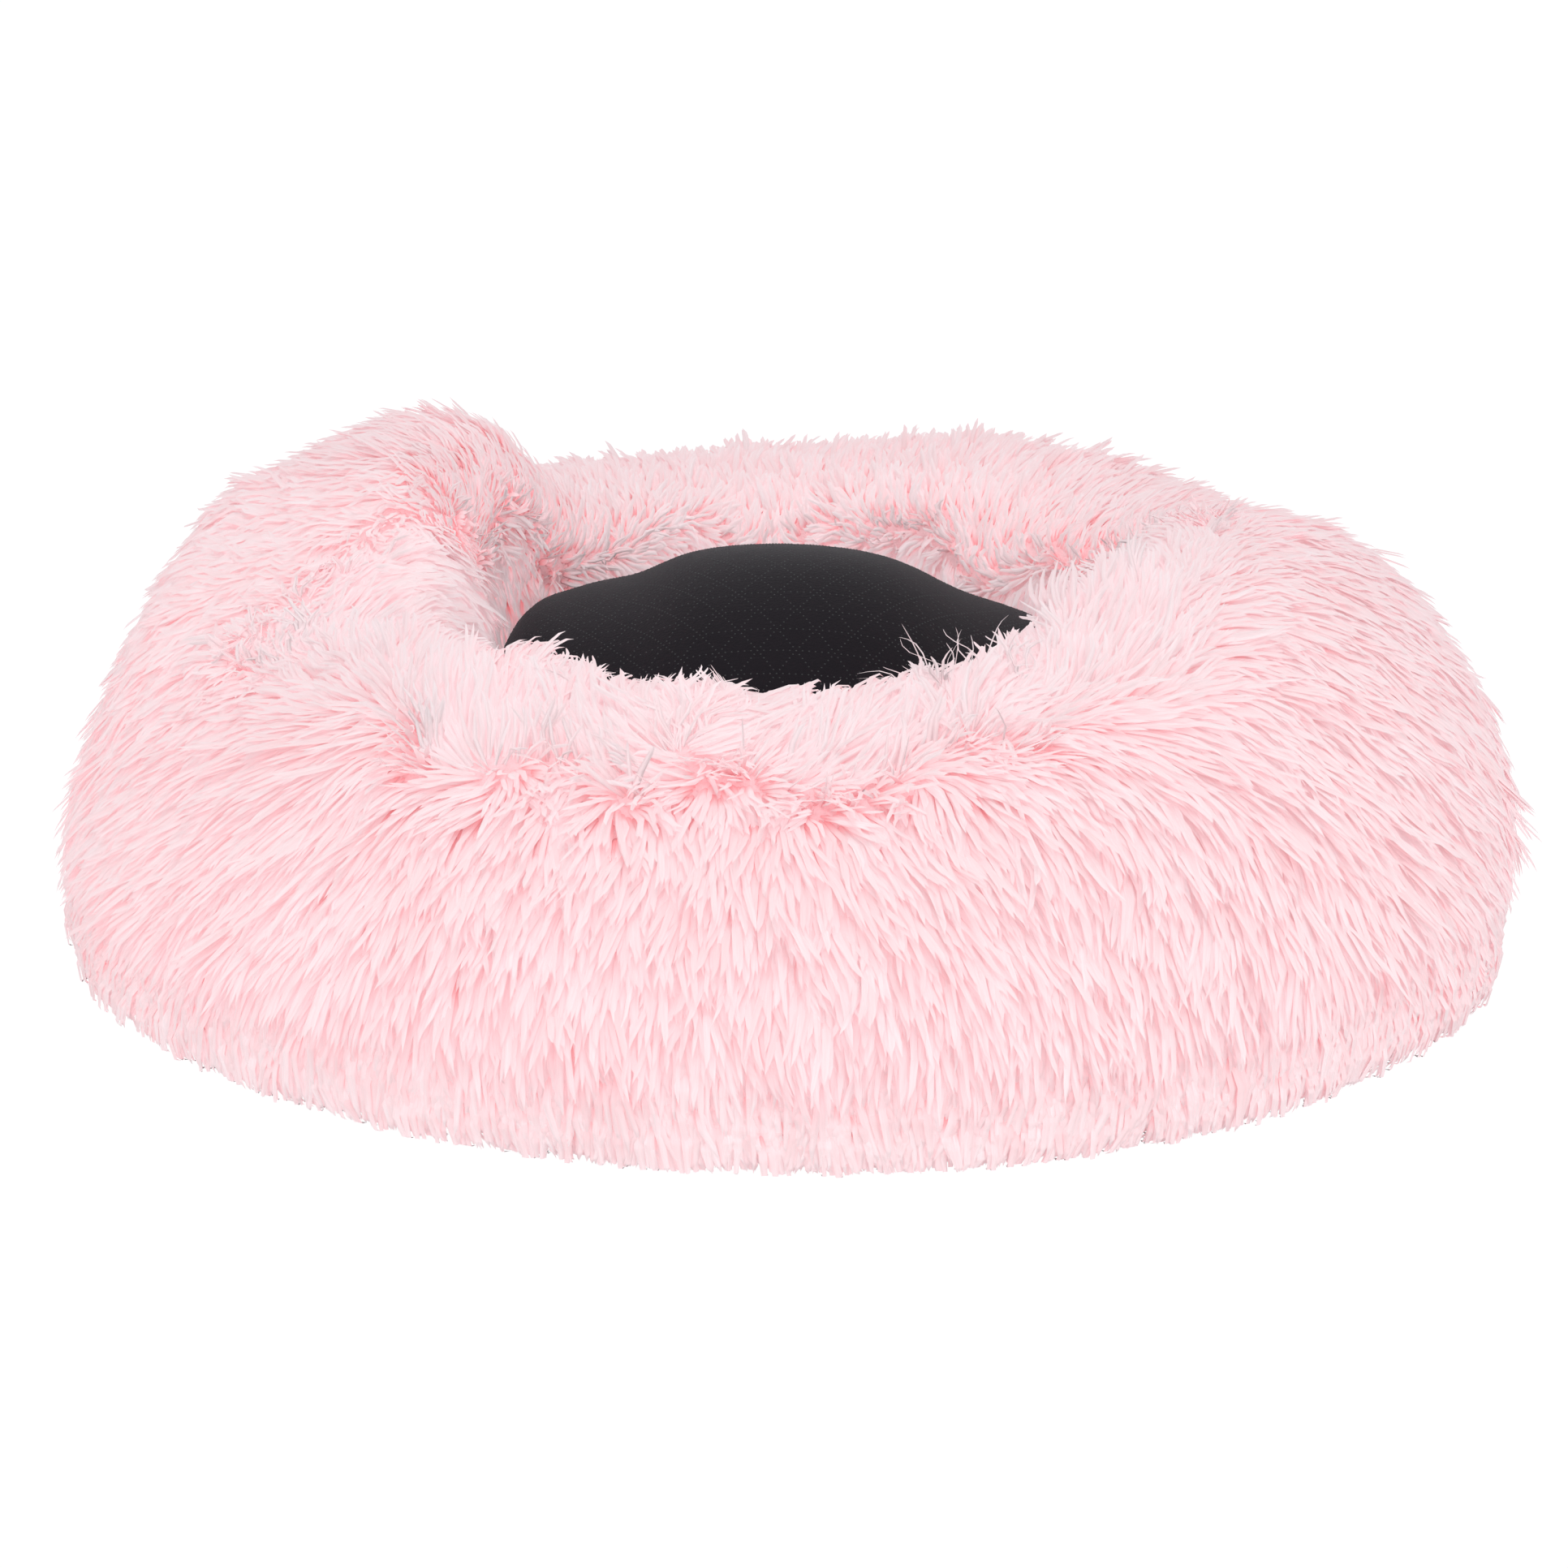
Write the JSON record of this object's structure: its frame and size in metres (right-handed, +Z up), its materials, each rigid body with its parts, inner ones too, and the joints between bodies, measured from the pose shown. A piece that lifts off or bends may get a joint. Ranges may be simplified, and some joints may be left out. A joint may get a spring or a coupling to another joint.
{
  "type": "pet bed",
  "caption": "Round plush pet bed: a thick stuffed ring with an uneven rim round a well, with a loose domed cushion lying in the well, non-slip side up.",
  "frame": {"origin": "on the floor, under the middle of the ring", "axes": "+Z up, the bed's front, where the rim is lowest, faces -Y, +X to the right of someone who looks at the front"},
  "size_m": [0.5, 0.5042, 0.1589],
  "materials": {
    "plush": "pale pink long-pile plush",
    "non_slip": "matt near-black non-slip fabric with a net of tiny dots",
    "lining": "short pink plush",
    "filling": "white polyester fibre"
  },
  "bodies": {
    "bed": {"outer_wall_panel": "plush", "inner_wall_panel": "plush", "ring_filling": "filling", "underside_panel": "non_slip", "base_pad": "filling", "well_floor_panel": "lining"},
    "cushion": {"cushion_non_slip_face": "non_slip", "cushion_plush_face": "plush", "cushion_filling": "filling"}
  },
  "joints": [
    {"name": "cushion_lift", "type": "slide", "parent": "bed", "child": "cushion", "axis": [0, 0, 1], "range_m": [0, 0.16]}
  ]
}
